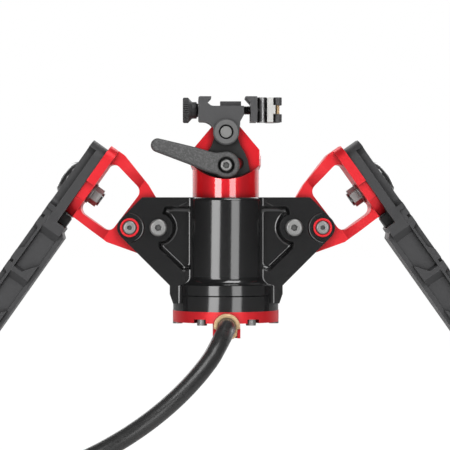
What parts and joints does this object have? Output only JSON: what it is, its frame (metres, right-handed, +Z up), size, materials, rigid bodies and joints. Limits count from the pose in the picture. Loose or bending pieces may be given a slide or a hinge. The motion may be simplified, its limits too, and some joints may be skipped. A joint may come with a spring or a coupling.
{
  "type": "hose-fed lift bipod",
  "caption": "Bipod rest with a fluid-lifted column, canting quick-release rail clamp, hinged brackets and swinging telescopic legs, fed by a front hose.",
  "frame": {"origin": "middle of the rail seat, on the lift column's axis, at the height of the clamp's floor", "axes": "+Z up along the lift column, X across between the two legs, Y along the rail; the hose leaves towards -Y"},
  "size_m": [0.4516, 0.1379, 0.2443],
  "materials": {
    "black_anodised": "satin black anodising",
    "red_anodised": "satin red anodising",
    "grey_anodised": "matte grey hard anodising",
    "dark_coat": "fine-textured dark coating",
    "steel": "satin stainless steel",
    "brass": "machined brass",
    "rubber": "matte black rubber",
    "white_plastic": "matte white acetal"
  },
  "bodies": {
    "housing": {"housing": "black_anodised", "bottom_cap": "red_anodised", "cap_screws": "steel", "cap_seal": "rubber", "wiper_seal": "rubber", "guide_key": "steel", "pivot_sleeves": "red_anodised", "pivot_screws": "steel", "lock_bolts": "steel", "lock_nuts": "steel", "hose_fitting": "brass", "hose": "rubber", "hose_end_fitting": "brass"},
    "column": {"lift_column": "red_anodised", "piston_seal": "rubber", "cant_lock_screw": "steel"},
    "lock_lever": {"cant_lever": "dark_coat"},
    "cant_clamp": {"clamp_body": "grey_anodised", "cant_plate": "dark_coat", "cant_pivot_pin": "steel", "recoil_key": "grey_anodised"},
    "jaw": {"drawbar": "steel", "clamp_jaw": "grey_anodised", "pressure_bar": "steel", "pressure_pad": "white_plastic", "cam_pin": "brass"},
    "quick_lever": {"cam_lever": "grey_anodised"},
    "knob": {"tension_knob": "grey_anodised"},
    "bracket_left": {"bracket_left": "red_anodised", "leg_bolt_left": "dark_coat", "leg_nut_left": "steel"},
    "leg_left": {"leg_beam_left": "grey_anodised"},
    "catch_left": {"catch_left": "dark_coat"},
    "slider_left": {"leg_slider_left": "grey_anodised", "foot_pin_left": "steel"},
    "thumb_left": {"thumb_screw_left": "dark_coat"},
    "foot_left": {"foot_left": "dark_coat", "foot_pad_left": "rubber"},
    "bracket_right": {"bracket_right": "red_anodised", "leg_bolt_right": "dark_coat", "leg_nut_right": "steel"},
    "leg_right": {"leg_beam_right": "grey_anodised"},
    "catch_right": {"catch_right": "dark_coat"},
    "slider_right": {"leg_slider_right": "grey_anodised", "foot_pin_right": "steel"},
    "thumb_right": {"thumb_screw_right": "dark_coat"},
    "foot_right": {"foot_right": "dark_coat", "foot_pad_right": "rubber"}
  },
  "joints": [
    {"name": "lift", "type": "slide", "parent": "housing", "child": "column", "axis": [0, 0, 1], "range_m": [-0.009, 0.03]},
    {"name": "cant", "type": "hinge", "parent": "column", "child": "cant_clamp", "pos_m": [0, 0, -0.0142], "axis": [0, 1, 0], "range_deg": [-18, 18]},
    {"name": "cant_lock", "type": "hinge", "parent": "column", "child": "lock_lever", "pos_m": [0, 0, -0.0324], "axis": [0, 1, 0], "range_deg": [-2, 22]},
    {"name": "jaw_slide", "type": "slide", "parent": "cant_clamp", "child": "jaw", "axis": [1, 0, 0], "range_m": [-0.0026, 0]},
    {"name": "quick_release", "type": "hinge", "parent": "jaw", "child": "quick_lever", "pos_m": [0.02845, 0, 0], "axis": [0, 0, 1], "range_deg": [-110, 0]},
    {"name": "tension", "type": "hinge", "parent": "cant_clamp", "child": "knob", "pos_m": [-0.019, 0, -0.002], "axis": [1, 0, 0], "continuous": true},
    {"name": "splay_left", "type": "hinge", "parent": "housing", "child": "bracket_left", "pos_m": [-0.0525, 0, -0.0663], "axis": [0, 1, 0], "range_deg": [-10, 10]},
    {"name": "swing_left", "type": "hinge", "parent": "bracket_left", "child": "leg_left", "pos_m": [-0.0783, 0, -0.0442], "axis": [0.8161, 0, -0.5779], "range_deg": [-90, 90]},
    {"name": "catch_left", "type": "slide", "parent": "leg_left", "child": "catch_left", "axis": [-0.5779, 0, -0.8161], "range_m": [0, 0.0013]},
    {"name": "extend_left", "type": "slide", "parent": "leg_left", "child": "slider_left", "axis": [-0.5779, 0, -0.8161], "range_m": [0, 0.062]},
    {"name": "thumb_left", "type": "hinge", "parent": "leg_left", "child": "thumb_left", "pos_m": [-0.17136, 0, -0.19641], "axis": [0.8161, 0, -0.5779], "continuous": true},
    {"name": "foot_left", "type": "hinge", "parent": "slider_left", "child": "foot_left", "pos_m": [-0.20985, 0, -0.22307], "axis": [0, 1, 0], "range_deg": [-20, 20]},
    {"name": "splay_right", "type": "hinge", "parent": "housing", "child": "bracket_right", "pos_m": [0.0525, 0, -0.0663], "axis": [0, 1, 0], "range_deg": [-10, 10]},
    {"name": "swing_right", "type": "hinge", "parent": "bracket_right", "child": "leg_right", "pos_m": [0.0783, 0, -0.0442], "axis": [-0.8161, 0, -0.5779], "range_deg": [-90, 90]},
    {"name": "catch_right", "type": "slide", "parent": "leg_right", "child": "catch_right", "axis": [0.5779, 0, -0.8161], "range_m": [0, 0.0013]},
    {"name": "extend_right", "type": "slide", "parent": "leg_right", "child": "slider_right", "axis": [0.5779, 0, -0.8161], "range_m": [0, 0.062]},
    {"name": "thumb_right", "type": "hinge", "parent": "leg_right", "child": "thumb_right", "pos_m": [0.17136, 0, -0.19641], "axis": [-0.8161, 0, -0.5779], "continuous": true},
    {"name": "foot_right", "type": "hinge", "parent": "slider_right", "child": "foot_right", "pos_m": [0.20985, 0, -0.22307], "axis": [0, 1, 0], "range_deg": [-20, 20]}
  ]
}
